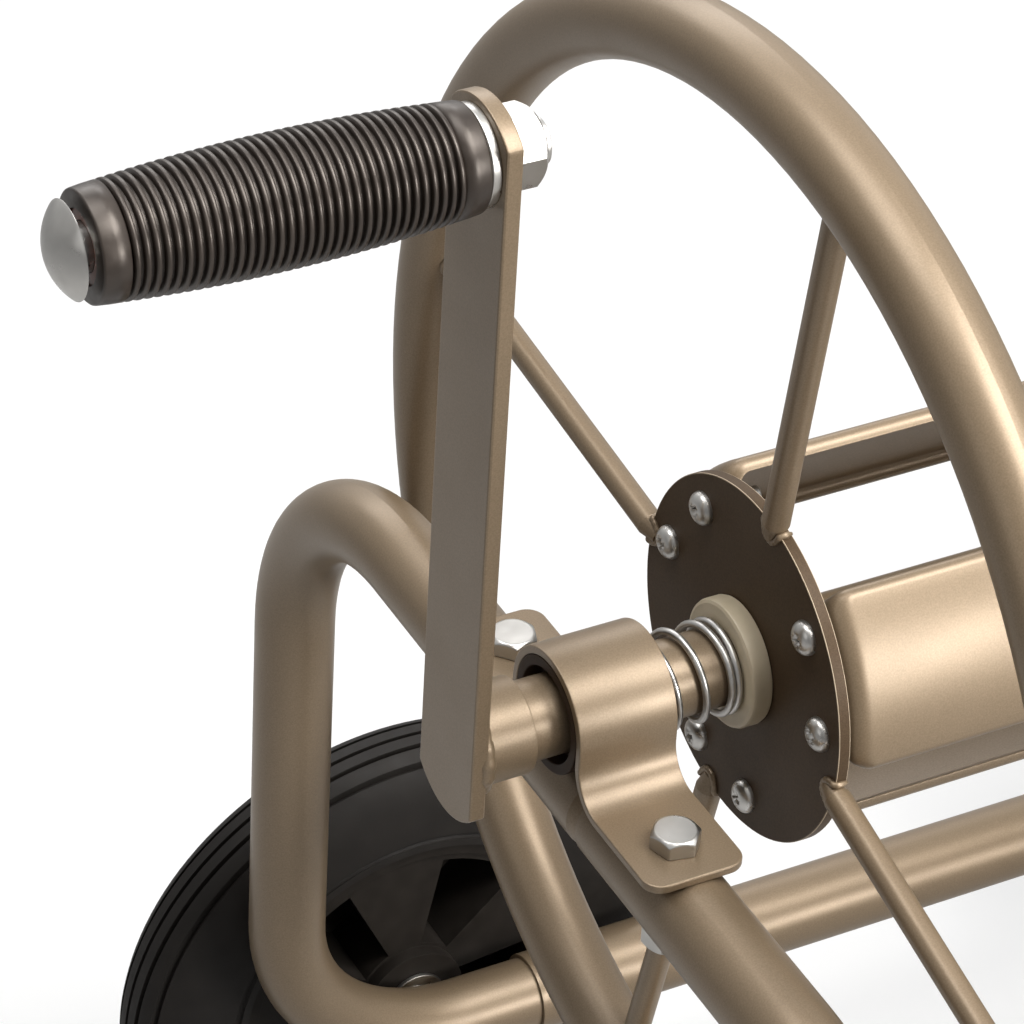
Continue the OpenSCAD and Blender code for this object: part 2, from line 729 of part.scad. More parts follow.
ear_gap = 0.5;
ear_t = 4;
bracket_half = handle_d / 2 + ear_gap + ear_t;
module handle_brackets() color(bronze) at_rear() left_and_right() difference() {
    at_pivot() union() {
        translate([0, half_track - bracket_half, -bracket_h / 2])
            cube([pivot_back, 2 * bracket_half, bracket_h]);
        translate([0, half_track - bracket_half, 0]) along_y() rod(bracket_h, 2 * bracket_half);
    }
    at_pivot() translate([-bracket_h, half_track - handle_d / 2 - ear_gap, -bracket_h])
        cube([pivot_back - tube_r - 5 + bracket_h, handle_d + 2 * ear_gap, 2 * bracket_h]);
    translate([-bar_gap, half_track, -rail_drop]) rod(tube_d, rail_drop);
    at_pivot() translate([0, 0, 0]) along_y() rod(bolt_d + 2 * hole_gap, track);
}

module handle_pivot_bolts() color(zinc) at_rear() left_and_right() at_pivot() {
    nut_h = 8;
    translate([0, half_track + bracket_half, 0]) along_y()
        hex_bolt(bolt_d, bolt_af, bolt_head_h, 2 * bracket_half + nut_h + 2);
    translate([0, half_track - bracket_half, 0]) rotate([90, 0, 0]) hex_nut(bolt_d, bolt_af, nut_h);
}

module handle_run(d) {
    leg_l = handle_h - handle_bend_r;
    left_and_right() {
        translate([0, half_track, 0]) rod(d, leg_l);
        translate([0, half_track - handle_bend_r, leg_l]) rotate([90, 0, 90]) elbow(d, handle_bend_r);
    }
    translate([0, -half_track + handle_bend_r, handle_h]) along_y() rod(d, track - 2 * handle_bend_r);
}

handle_tail = 15;
module pull_handle() color(bronze) at_rear() at_pivot() rotate([0, handle_lean, 0]) difference() {
    union() {
        handle_run(handle_d);
        left_and_right() translate([0, half_track, -handle_tail]) rod(handle_d, handle_tail + 1);
    }
    handle_run(handle_d - 2 * tube_wall);
    left_and_right() translate([0, half_track, handle_d]) rod(handle_d - 2 * tube_wall, handle_d);
    translate([0, -half_track - handle_d, 0]) along_y() rod(bolt_d + 2 * run_gap, track + 2 * handle_d);
}

module handle_foam() color(black) at_rear() at_pivot() rotate([0, handle_lean, 0])
    translate([0, -foam_l / 2, handle_h]) along_y() ring(foam_d, handle_d + 0.1, foam_l);

// ---------- wheels ----------

module wheel_place(end, side) {
    x = end < 0 ? front_x + wheel_inset : rear_x - wheel_inset;
    translate([x, side * wheel_y, wheel_d / 2]) rotate([-90 * side, 0, 0]) children();
}

// Half width of the tyre at height t between its seat (0) and its crown (1).
tyre_power = 2.8;
function tyre_half(t) = tyre_w / 2 * pow(1 - pow(t, tyre_power), 1 / tyre_power);

module tyre(end, side) color(black) wheel_place(end, side) {
    seat_r = tyre_seat_d / 2;
    depth = wheel_d / 2 - seat_r;
    steps = 12;
    groove_w = 2;
    groove_deep = 2.2;
    pitch = tyre_w * 0.8 / groove_n;
    right = [for (i = [0 : steps]) let (t = sin(90 * i / steps)) [seat_r + depth * t, tyre_half(t)]];
    left = [for (i = [steps : -1 : 0]) [right[i][0], -right[i][1]]];
    rotate_extrude() difference() {
        polygon(concat(right, left));
        for (i = [0 : groove_n - 1])
            translate([wheel_d / 2 - groove_deep - tread_drop((i + 0.5) * pitch - tyre_w * 0.4),
                (i + 0.5) * pitch - tyre_w * 0.4 - groove_w / 2])
                square([3 * groove_deep, groove_w]);
        for (s = [-1, 1]) translate([seat_r + 5, s * tyre_w / 2]) circle(r = 1.5);
    }
}

// How far the tread lies below the crown at a distance y from the wheel's middle.
function tread_drop(y) = (wheel_d - tyre_seat_d) / 2
    * (1 - pow(1 - pow(abs(y) * 2 / tyre_w, tyre_power), 1 / tyre_power));

// A moulded wheel: a rim barrel, a hub and a web folded into wedges, with pockets on both faces.
module wheel(end, side) color("#343232") wheel_place(end, side) {
    seat_r = tyre_seat_d / 2;
    rim_t = 6;
    rim_half = tyre_w / 2 - 2;
    face_half = rim_half - 1.5;
    step_a = 360 / wheel_spoke_n;
    pocket_a = step_a * 0.24;
    difference() {
        rotate_extrude() {
            translate([seat_r - rim_t, -rim_half]) square([rim_t, 2 * rim_half]);
            translate([wheel_bush_d / 2, -wheel_hub_l / 2])
                square([(wheel_hub_d - wheel_bush_d) / 2, wheel_hub_l]);
            translate([wheel_hub_d / 2 - 1, -face_half])
                square([seat_r - rim_t - wheel_hub_d / 2 + 2, 2 * face_half]);
        }
        for (i = [0 : wheel_spoke_n - 1]) rotate([0, 0, 10.7 + i * step_a]) {
            translate([0, 0, -face_half - 1])
                wheel_pocket(seat_r - rim_t - 4, pocket_a, 0, 2 * face_half - web_t + 1);
            rotate([0, 0, step_a / 2]) translate([0, 0, -face_half + web_t])
                wheel_pocket(seat_r - rim_t - 4, step_a / 2 - pocket_a, web_t, 2 * face_half);
        }
    }
}

// A wedge of half angle a between the hub and outer_r, its sides moved in by a wall.
module wheel_pocket(outer_r, a, wall, h) {
    tip = wall / sin(a);
    far = outer_r * 1.5;
    linear_extrude(height = h) intersection() {
        difference() {
            circle(r = outer_r);
            circle(r = wheel_hub_d / 2 + 1.5);
        }
        polygon([[tip, 0], [tip + far * cos(a), far * sin(a)], [tip + far * cos(a), -far * sin(a)]]);
    }
}

wheel_bush_d = 20;
web_t = 4;
module wheel_bush(end, side) color(nylon) wheel_place(end, side) translate([0, 0, -wheel_hub_l / 2])
    ring(wheel_bush_d, rod_d + 2 * run_gap, wheel_hub_l);

at_front() loop_neck();  // front_loop_left
at_front() mirror([0, 1, 0]) loop_socket();  // front_loop_right
at_rear() loop_neck();  // rear_loop_left
at_rear() mirror([0, 1, 0]) loop_socket();  // rear_loop_right
rail();  // rail_left
mirror([0, 1, 0]) rail();  // rail_right
rail_screws();
at_front() wheel_axle();  // front_wheel_axle
at_rear() wheel_axle();  // rear_wheel_axle
axle_washers();
axle_end_caps();
at_front() bearing_strap();  // front_bearing_strap
at_rear() bearing_strap();  // rear_bearing_strap
at_front() bearing_bush();  // front_bearing_bush
at_rear() bearing_bush();  // rear_bearing_bush
strap_bolts();
handle_brackets();
handle_pivot_bolts();
reel_axle();
axle_pin();
crank_arm();
hub_plate(-1);  // front_hub_plate
hub_plate(1);  // rear_hub_plate
at_front() rim_hoop();  // front_rim
at_rear() rim_hoop();  // rear_rim
at_front() spokes();  // front_spokes
at_rear() spokes();  // rear_spokes
drum_panel(0);  // drum_panel_far
drum_panel(1);  // drum_panel_near
drum_panel(2);  // drum_panel_low
hub_screws();
brake_spring();
nylon_washer();
outlet_pipe();
grip_bolt();
grip_nut();
grip_washer();
crank_grip();
grip_sleeve();
inlet_swivel();
pull_handle();
handle_foam();
tyre(-1, 1);  // tyre_front_left
tyre(-1, -1);  // tyre_front_right
tyre(1, 1);  // tyre_rear_left
tyre(1, -1);  // tyre_rear_right
wheel(-1, 1);  // wheel_front_left
wheel(-1, -1);  // wheel_front_right
wheel(1, 1);  // wheel_rear_left
wheel(1, -1);  // wheel_rear_right
wheel_bush(-1, 1);  // wheel_bush_front_left
wheel_bush(-1, -1);  // wheel_bush_front_right
wheel_bush(1, 1);  // wheel_bush_rear_left
wheel_bush(1, -1);  // wheel_bush_rear_right
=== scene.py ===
# %% [markdown]
# # A garden hose reel cart
# The cart is a welded steel frame on four wheels that carries a reel, a crank and a pull
# handle. Its shapes come from CAD as one node per part. This lesson gives the nodes their
# paint, plating and rubber, and adds the small things that a maker sees up close: weld
# beads, screw recesses, rounded edges and the ribs of the grip.

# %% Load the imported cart
import math

import bmesh
import bpy
from mathutils import Matrix, Vector


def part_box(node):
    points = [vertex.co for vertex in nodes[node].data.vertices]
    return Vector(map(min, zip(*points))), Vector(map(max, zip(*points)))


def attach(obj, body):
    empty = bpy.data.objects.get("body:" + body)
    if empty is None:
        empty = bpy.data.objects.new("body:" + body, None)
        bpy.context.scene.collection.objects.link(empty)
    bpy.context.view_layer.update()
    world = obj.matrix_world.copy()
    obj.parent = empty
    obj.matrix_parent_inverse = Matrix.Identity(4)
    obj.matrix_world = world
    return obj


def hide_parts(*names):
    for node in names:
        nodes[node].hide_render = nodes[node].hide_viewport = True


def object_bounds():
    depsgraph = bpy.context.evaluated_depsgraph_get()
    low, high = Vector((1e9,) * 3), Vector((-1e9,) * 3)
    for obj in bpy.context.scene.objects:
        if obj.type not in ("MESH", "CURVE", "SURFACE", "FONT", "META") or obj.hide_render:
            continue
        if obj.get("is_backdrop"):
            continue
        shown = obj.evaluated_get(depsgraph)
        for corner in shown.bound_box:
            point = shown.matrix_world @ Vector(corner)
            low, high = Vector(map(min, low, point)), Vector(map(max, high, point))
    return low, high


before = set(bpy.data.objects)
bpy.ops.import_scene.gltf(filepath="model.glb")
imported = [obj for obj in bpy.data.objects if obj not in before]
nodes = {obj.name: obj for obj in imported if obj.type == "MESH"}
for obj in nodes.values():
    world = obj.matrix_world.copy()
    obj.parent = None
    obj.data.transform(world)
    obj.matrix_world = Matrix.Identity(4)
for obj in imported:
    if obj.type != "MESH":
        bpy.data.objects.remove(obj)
cad_low, cad_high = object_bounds()
print("nodes:", len(nodes), "CAD box:", [round(v, 4) for v in (*cad_low, *cad_high)])

# %% [markdown]
# ## The camera
# A close view of the crank end shows how the cart is made. A long lens keeps parallel
# tubes nearly parallel. The camera's place is measured from the middle of the hub plate
# behind the crank, and it is turned in three steps: round to the right, down, and then a
# small tilt to one side.

# %% Camera
MM = 0.001
plate_low, plate_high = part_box("front_hub_plate")
hub = Vector((plate_low.x, *((plate_low + plate_high) / 2).yz))
eye = hub + Vector((-684.0, -1036.4, 965.2)) * MM
turn_right, look_down, tilt = (math.radians(a) for a in (29.628, 36.240, 3.501))

camera_data = bpy.data.cameras.new("camera")
camera_data.lens = 158.67
camera_data.sensor_width = 36
camera_data.clip_start, camera_data.clip_end = 0.05, 100
camera = bpy.data.objects.new("camera", camera_data)
camera.matrix_world = (
    Matrix.Translation(eye)
    @ Matrix.Rotation(-turn_right, 4, "Z")
    @ Matrix.Rotation(math.pi / 2 - look_down, 4, "X")
    @ Matrix.Rotation(tilt, 4, "Z")
)
bpy.context.scene.collection.objects.link(camera)
bpy.context.scene.camera = camera
bpy.context.scene.view_settings.view_transform = "Standard"
print("camera at", [round(v, 3) for v in eye])

# %% [markdown]
# ## Studio light
# Satin paint shows its shape through wide, soft highlights, so the lamps are large and the
# room is bright. The world looks white to the camera and to shiny surfaces, and lights the
# cart with a gentler grey. What shiny surfaces mirror grows dimmer towards the front left
# and below, so bright metal shows a darker patch there and keeps its shape. A high lamp on
# the right makes the long highlights, one above lights the tops of the tubes, a low one in
# front reaches the undersides, and two weak ones fill in from the left and from behind.

# %% World
def add_node(tree, kind, **settings):
    """Add a shader node. Settings name its input sockets, with _ for a space."""
    node = tree.nodes.new(kind)
    for socket, value in settings.items():
        node.inputs[socket.replace("_", " ")].default_value = value
    return node


def calculate(tree, operation, *values):
    """A maths node, fed with sockets or plain numbers."""
    node = tree.nodes.new("ShaderNodeMath")
    node.operation = operation
    for socket, value in zip(node.inputs, values):
        if isinstance(value, bpy.types.NodeSocket):
            tree.links.new(value, socket)
        else:
            socket.default_value = value
    return node.outputs[0]


def seen_or_mirrored(tree, mirrored):
    """1 for camera and transmission rays, mirrored for glossy rays, 0 for diffuse light."""
    rays = tree.nodes.new("ShaderNodeLightPath").outputs
    seen = calculate(tree, "MAXIMUM", rays["Is Camera Ray"], rays["Is Transmission Ray"])
    glossy = calculate(tree, "MULTIPLY", rays["Is Glossy Ray"], mirrored)
    return calculate(tree, "MAXIMUM", seen, glossy)


ROOM_LIGHT = 0.12
world = bpy.data.worlds.new("studio")
world.use_nodes = True
bpy.context.scene.world = world
tree = world.node_tree
tree.nodes.clear()
room_light = add_node(tree, "ShaderNodeBackground", Color=(1, 0.985, 0.96, 1), Strength=ROOM_LIGHT)
white_room = add_node(tree, "ShaderNodeBackground", Color=(1, 1, 1, 1), Strength=1.0)
direction = tree.nodes.new("ShaderNodeTexCoord")
dim_side = tree.nodes.new("ShaderNodeVectorMath")
dim_side.operation = "DOT_PRODUCT"
dim_side.inputs[1].default_value = (-0.75, -0.45, -0.5)
dimmer = add_node(
    tree, "ShaderNodeMapRange", From_Min=-0.7, From_Max=0.7, To_Min=0.9, To_Max=0.15
)
choose = tree.nodes.new("ShaderNodeMixShader")
world_out = tree.nodes.new("ShaderNodeOutputWorld")
tree.links.new(direction.outputs["Generated"], dim_side.inputs[0])
tree.links.new(dim_side.outputs["Value"], dimmer.inputs["Value"])
tree.links.new(seen_or_mirrored(tree, dimmer.outputs["Result"]), choose.inputs[0])
tree.links.new(room_light.outputs[0], choose.inputs[1])
tree.links.new(white_room.outputs[0], choose.inputs[2])
tree.links.new(choose.outputs[0], world_out.inputs[0])
print("world: white room, light", ROOM_LIGHT)

# %% Lamps
def area_lamp(name, place, size, power, tint=(1, 1, 1)):
    """A soft lamp at a place measured from the hub, aimed at the hub."""
    lamp_data = bpy.data.lights.new(name, "AREA")
    lamp_data.shape = "RECTANGLE"
    lamp_data.size, lamp_data.size_y = size
    lamp_data.energy = power
    lamp_data.color = tint
    lamp = bpy.data.objects.new(name, lamp_data)
    lamp.location = hub + Vector(place)
    lamp.rotation_mode = "QUATERNION"
    lamp.rotation_quaternion = (-Vector(place)).to_track_quat("-Z", "Y")
    lamp.visible_camera = False
    bpy.context.scene.collection.objects.link(lamp)


warm = (1, 0.985, 0.96)
area_lamp("key lamp", (0.9, -1.2, 2.6), (1.7, 1.7), 128, warm)
area_lamp("front lamp", (1.1, -2.4, 0.6), (1.0, 0.8), 52, warm)
area_lamp("top lamp", (-0.5, 0.5, 2.6), (1.6, 1.6), 40)
area_lamp("left lamp", (-2.2, -0.6, 1.0), (1.2, 1.2), 3)
area_lamp("back lamp", (0.4, 2.4, 1.4), (2.0, 1.0), 20)

# %% [markdown]
# ## The floor
# A pale sheet lies under the cart. It is a real surface, so it catches the wheels' shadow,
# and a light of its own, seen only by the camera and in reflections, lifts it to white.
# Far from the cart, where no shadow falls, that light takes over.

# %% Floor
def new_material(name):
    """A material with one Principled shader, ready for nodes."""
    material = bpy.data.materials.new(name)
    material.use_nodes = True
    tree = material.node_tree
    tree.nodes.clear()
    shader = tree.nodes.new("ShaderNodeBsdfPrincipled")
    output = tree.nodes.new("ShaderNodeOutputMaterial")
    tree.links.new(shader.outputs[0], output.inputs[0])
    return material, tree, shader


def piece_from_bmesh(name, bm, material=None, smooth=True):
    """Turn a bmesh into a named object in the scene."""
    mesh = bpy.data.meshes.new(name)
    bm.to_mesh(mesh)
    bm.free()
    for face in mesh.polygons:
        face.use_smooth = smooth
    piece = bpy.data.objects.new(name, mesh)
    if material:
        mesh.materials.append(material)
    bpy.context.scene.collection.objects.link(piece)
    return piece


floor_finish, tree, shader = new_material("pale floor")
shader.inputs["Base Color"].default_value = (0.86, 0.86, 0.86, 1)
shader.inputs["Roughness"].default_value = 0.9
glow = add_node(tree, "ShaderNodeEmission", Color=(1, 1, 1, 1))
tree.links.new(seen_or_mirrored(tree, 0.4), glow.inputs["Strength"])
lit_floor = tree.nodes.new("ShaderNodeMixShader")
place = tree.nodes.new("ShaderNodeTexCoord")
away = tree.nodes.new("ShaderNodeVectorMath")
away.operation = "LENGTH"
share = add_node(
    tree, "ShaderNodeMapRange", From_Min=0.6, From_Max=2.4, To_Min=0.62, To_Max=1.0
)
tree.links.new(place.outputs["Object"], away.inputs[0])
tree.links.new(away.outputs["Value"], share.inputs["Value"])
tree.links.new(share.outputs["Result"], lit_floor.inputs[0])
tree.links.new(shader.outputs[0], lit_floor.inputs[1])
tree.links.new(glow.outputs[0], lit_floor.inputs[2])
tree.links.new(lit_floor.outputs[0], tree.nodes["Material Output"].inputs[0])

bm = bmesh.new()
bmesh.ops.create_circle(bm, cap_ends=True, segments=96, radius=14)
floor = piece_from_bmesh("floor", bm, floor_finish)
floor.location.z = cad_low.z - 0.0005
floor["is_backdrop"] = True
print("floor at", round(floor.location.z, 4))

# %% [markdown]
# ## Finishes
# Each finish is one Principled shader. Noise in the object's own space varies its colour a
# little, changes its gloss from place to place and raises a fine bump, because no paint or
# rubber is one flat colour. The sizes are real: an orange-peel ripple in sprayed powder is
# two or three millimetres across, and a metal flake a fraction of one.

# %% Tools for finishes
def pattern(tree, size, detail):
    """Noise whose features are about size metres across."""
    place = tree.nodes.new("ShaderNodeTexCoord")
    noise = add_node(tree, "ShaderNodeTexNoise", Scale=1 / size, Detail=detail)
    tree.links.new(place.outputs["Object"], noise.inputs["Vector"])
    return noise.outputs["Fac"]


def spread(tree, value, low, high):
    """Map the middle of a noise onto the range from low to high."""
    ranged = add_node(
        tree, "ShaderNodeMapRange", From_Min=0.3, From_Max=0.7, To_Min=low, To_Max=high
    )
    tree.links.new(value, ranged.inputs["Value"])
    return ranged.outputs["Result"]


def tint(tree, value, dark, light):
    """A colour between dark and light, by a noise."""
    ramp = tree.nodes.new("ShaderNodeValToRGB")
    ramp.color_ramp.elements[0].position, ramp.color_ramp.elements[1].position = 0.3, 0.7
    ramp.color_ramp.elements[0].color = (*dark, 1)
    ramp.color_ramp.elements[1].color = (*light, 1)
    tree.links.new(value, ramp.inputs["Fac"])
    return ramp.outputs["Color"]


def ripple(tree, shader, value, height, strength):
    """Raise a bump of that height, in metres, on the shader."""
    bump = add_node(tree, "ShaderNodeBump", Strength=strength, Distance=height)
    tree.links.new(value, bump.inputs["Height"])
    tree.links.new(bump.outputs["Normal"], shader.inputs["Normal"])


def set_shader(shader, **settings):
    """Set a shader's sockets. Their names have _ for a space."""
    for socket, value in settings.items():
        shader.inputs[socket.replace("_", " ")].default_value = value


print("finish tools ready")

# %% [markdown]
# ### Bronze paint
# Nearly all of the cart is steel under a satin metallic powder coat. Fine aluminium flakes
# in a bronze pigment make it partly metal, partly paint, so the shader mixes the two, with
# a thin clear layer on top. Three noises do the rest: flakes in the colour, clouds in the
# gloss and orange peel in the bump.

# %% Bronze paint
FLAKE, CLOUD, PEEL = 0.6 * MM, 30 * MM, 2.2 * MM


def metallic_paint(name, dark, light, gloss, metal, shine):
    """A paint between dark and light. Gloss is a roughness, metal and shine are shares."""
    material, tree, shader = new_material(name)
    set_shader(shader, Metallic=metal, Specular_IOR_Level=shine)
    set_shader(shader, Coat_Weight=shine * metal, Coat_Roughness=0.3)
    flakes = pattern(tree, FLAKE, 3)
    colour = tint(tree, flakes, dark, light)
    tree.links.new(colour, shader.inputs["Base Color"])
    clouds = pattern(tree, CLOUD, 3)
    tree.links.new(spread(tree, clouds, gloss - 0.03, gloss + 0.03), shader.inputs["Roughness"])
    ripple(tree, shader, pattern(tree, PEEL, 2), 0.03 * MM, 0.25)
    return material, tree, shader, colour


bronze_paint, *_ = metallic_paint(
    "bronze paint", (0.19, 0.137, 0.083), (0.24, 0.176, 0.112), 0.41, 0.42, 0.5
)
# Painted shade: the hub plates and the axle pin get a darker, duller copy of the bronze paint, the
# colour that bronze shows in shade.
painted_shade_bronze, tree, shader, painted_shade_colour = metallic_paint(
    "painted shade bronze", (0.06, 0.038, 0.0205), (0.082, 0.0525, 0.0295), 0.5, 0.1, 0.15
)
# Painted highlight: on a plate's rounded edges, where its surface turns part way from X, the
# colour is lifted to a light bronze, as an edge catching the light looks.
facing = tree.nodes.new("ShaderNodeTexCoord")
split = tree.nodes.new("ShaderNodeSeparateXYZ")
painted_highlight_share = tree.nodes.new("ShaderNodeValToRGB")
painted_highlight_share.color_ramp.elements[0].position = 0.1
painted_highlight_share.color_ramp.elements[1].position = 0.25
for place, level in ((0.85, 1), (0.95, 0)):
    painted_highlight_share.color_ramp.elements.new(place).color = (level, level, level, 1)
painted_highlight_mix = tree.nodes.new("ShaderNodeMix")
painted_highlight_mix.data_type = "RGBA"
painted_highlight_mix.inputs["B"].default_value = (0.6, 0.49, 0.36, 1)
tree.links.new(facing.outputs["Normal"], split.inputs[0])
tree.links.new(calculate(tree, "ABSOLUTE", split.outputs["X"]), painted_highlight_share.inputs["Fac"])
tree.links.new(painted_highlight_share.outputs["Color"], painted_highlight_mix.inputs["Factor"])
tree.links.new(painted_shade_colour, painted_highlight_mix.inputs["A"])
tree.links.new(painted_highlight_mix.outputs["Result"], shader.inputs["Base Color"])
print("paints:", bronze_paint.name, "and", painted_shade_bronze.name)

# %% [markdown]
# ### Zinc and brass
# Bolts, nuts, washers and the pipe are bright zinc plate, the spring is bright wire, and
# the swivel is cast brass. Plating follows the steel's grain and the barrel's tumbling
# marks, so its gloss varies in small patches while the colour stays nearly even.

# %% Zinc and brass
def plated_metal(name, dark, light, gloss, grain, bump=0.3):
    """A metal between dark and light, whose grain is a size in metres."""
    material, tree, shader = new_material(name)
    set_shader(shader, Metallic=1.0)
    colour = tint(tree, pattern(tree, grain * 3, 3), dark, light)
    tree.links.new(colour, shader.inputs["Base Color"])
    roughness = spread(tree, pattern(tree, grain, 4), gloss - 0.06, gloss + 0.08)
    tree.links.new(roughness, shader.inputs["Roughness"])
    ripple(tree, shader, pattern(tree, grain, 3), 0.03 * MM, bump)
    return material


zinc_plate = plated_metal(
    "zinc plate", (0.43, 0.42, 0.4), (0.56, 0.545, 0.52), 0.32, 6 * MM, 0.08
)
spring_steel = plated_metal(
    "spring steel", (0.5, 0.49, 0.47), (0.6, 0.59, 0.57), 0.33, 20 * MM, 0.02
)
cast_brass = plated_metal(
    "cast brass", (0.50, 0.34, 0.13), (0.62, 0.44, 0.19), 0.33, 1 * MM
)
print("metals:", zinc_plate.name, spring_steel.name, cast_brass.name)

# %% [markdown]
# ### Rubber, foam and plastic
# Rubber and plastic are dark, and what tells them apart is their gloss: the moulded grip
# has a soft sheen on each rib, a tyre is dull with a dusty bloom, and the wheel and the
# bearings are a slightly grained moulding.

# %% Rubber, foam and plastic
def moulded(name, dark, light, gloss, grain, height, shine=0.5, sheen=(1, 1, 1)):
    """A plastic or rubber between dark and light, with bumps of that grain and height."""
    material, tree, shader = new_material(name)
    set_shader(shader, Specular_IOR_Level=shine, Specular_Tint=(*sheen, 1))
    colour = tint(tree, pattern(tree, grain * 12, 4), dark, light)
    tree.links.new(colour, shader.inputs["Base Color"])
    roughness = spread(tree, pattern(tree, grain * 6, 3), gloss - 0.05, gloss + 0.05)
    tree.links.new(roughness, shader.inputs["Roughness"])
    ripple(tree, shader, pattern(tree, grain, 3), height, 0.4)
    return material


grip_rubber = moulded(
    "grip rubber", (0.016, 0.012, 0.0098), (0.025, 0.019, 0.0155),
    0.36, 0.6 * MM, 0.01 * MM, 0.62, (1, 0.9, 0.82)
)
tyre_rubber = moulded(
    "tyre rubber", (0.0075, 0.006, 0.005), (0.012, 0.01, 0.0085),
    0.62, 0.9 * MM, 0.05 * MM, 0.22
)
black_plastic = moulded(
    "black plastic", (0.013, 0.0108, 0.009), (0.02, 0.017, 0.0145),
    0.6, 0.8 * MM, 0.04 * MM, 0.1
)
bearing_plastic = moulded(
    "bearing plastic", (0.042, 0.027, 0.018), (0.056, 0.037, 0.025),
    0.5, 0.8 * MM, 0.03 * MM, 0.06
)
nylon = moulded(
    "nylon", (0.62, 0.53, 0.37), (0.7, 0.6, 0.44), 0.4, 0.9 * MM, 0.03 * MM
)
brown_plastic = moulded(
    "brown plastic", (0.10, 0.026, 0.014), (0.14, 0.04, 0.022), 0.3, 0.9 * MM, 0.02 * MM
)
foam = moulded(
    "foam", (0.012, 0.012, 0.012), (0.02, 0.02, 0.02), 0.85, 1.1 * MM, 0.35 * MM
)
print("soft and moulded finishes:", 7)

# %% [markdown]
# ## Dress the CAD nodes
# CAD edges are perfectly sharp, and real ones never are: a sheared bar, a pressed strap and
# a forged bolt head all have a small radius that catches the light. A stack of modifiers
# rounds them without changing the mesh itself. It joins the facets' split corners, merges
# flat facets, rounds each edge that turns more than 35 degrees, and evens the shading.

# %% Dress the nodes
def round_edges(node, radius):
    """Round a node's edges by modifiers, without changing its mesh."""
    node.modifiers.new("join corners", "WELD").merge_threshold = 0.00001
    flat = node.modifiers.new("merge flats", "DECIMATE")
    flat.decimate_type, flat.angle_limit = "DISSOLVE", math.radians(0.4)
    edge = node.modifiers.new("round edges", "BEVEL")
    edge.width, edge.segments = radius, 2
    edge.limit_method, edge.angle_limit = "ANGLE", math.radians(35)
    edge.miter_outer = "MITER_ARC"
    shade = node.modifiers.new("even shading", "WEIGHTED_NORMAL")
    shade.keep_sharp = True


def dress(finish, names, radius=0.0):
    """Give nodes a finish, and round their edges where a radius is given."""
    for name in names:
        node = nodes[name]
        node.data.materials.clear()
        node.data.materials.append(finish)
        if radius:
            round_edges(node, radius)
    print(f"{finish.name}: {len(names)} nodes")


def each(name, words):
    """The name, filled in with each of the words."""
    return [name.format(word) for word in words]


ends = ("front", "rear")
corners = ("front_left", "front_right", "rear_left", "rear_right")
tubes = each("{}_loop_left", ends) + each("{}_loop_right", ends) + each("{}_rim", ends)
dress(bronze_paint, tubes + each("{}_spokes", ends) + ["rail_left", "rail_right", "pull_handle"])
dress(bronze_paint, each("{}_bearing_strap", ends), 0.6 * MM)
dress(bronze_paint, ["crank_arm"], 1.6 * MM)
dress(bronze_paint, ["reel_axle", "handle_brackets"], 0.5 * MM)
# Painted shade: the plates and the pin take the darker copy of the bronze paint.
dress(painted_shade_bronze, each("{}_hub_plate", ends), 1.6 * MM)
dress(painted_shade_bronze, ["axle_pin"], 0.3 * MM)
dress(zinc_plate, ["strap_bolts", "handle_pivot_bolts"], 0.5 * MM)
dress(zinc_plate, ["grip_nut", "grip_washer", "grip_bolt"], 0.5 * MM)
dress(zinc_plate, ["rail_screws", "axle_washers", "axle_end_caps"], 0.3 * MM)
dress(zinc_plate, each("{}_wheel_axle", ends), 0.8 * MM)
dress(zinc_plate, ["outlet_pipe"], 0.3 * MM)
dress(cast_brass, ["inlet_swivel"], 0.5 * MM)
dress(bearing_plastic, each("{}_bearing_bush", ends), 0.5 * MM)
dress(nylon, ["nylon_washer"], 1.5 * MM)
dress(nylon, each("wheel_bush_{}", corners), 0.3 * MM)
dress(brown_plastic, ["grip_sleeve"], 0.4 * MM)
dress(tyre_rubber, each("tyre_{}", corners), 0.5 * MM)
dress(black_plastic, each("wheel_{}", corners), 1.2 * MM)

# %% [markdown]
# ## Turned and swept shapes
# Two tools make most small parts. `turned` spins an outline about an axis, as a lathe does.
# `swept` carries a circle along a path, as wire or a weld bead runs. Both add to a bmesh,
# so many copies become one piece.

# %% Tools for shapes
def join_rings(bm, rings, closed):
    """Skin a list of rings with faces. A ring may be one corner, repeated."""
    follow = rings[1:] + rings[:1] if closed else rings[1:]
    for lower, upper in zip(rings, follow):
        for i in range(len(lower)):
            j = (i + 1) % len(lower)
            corners = list(dict.fromkeys((lower[i], lower[j], upper[j], upper[i])))
            if len(corners) > 2:
                bm.faces.new(corners)


def turned(bm, outline, place, segments):
    """Spin a closed outline of (radius, height) pairs about the Z axis of place."""
    rings = []
    on_axis = 1e-7
    for radius, height in outline:
        if radius < on_axis:
            rings.append([bm.verts.new(place @ Vector((0, 0, height)))] * segments)
            continue
        angles = (2 * math.pi * i / segments for i in range(segments))
        rings.append([
            bm.verts.new(place @ Vector((radius * math.cos(a), radius * math.sin(a), height)))
            for a in angles
        ])
    join_rings(bm, rings, closed=outline[0][0] > on_axis)


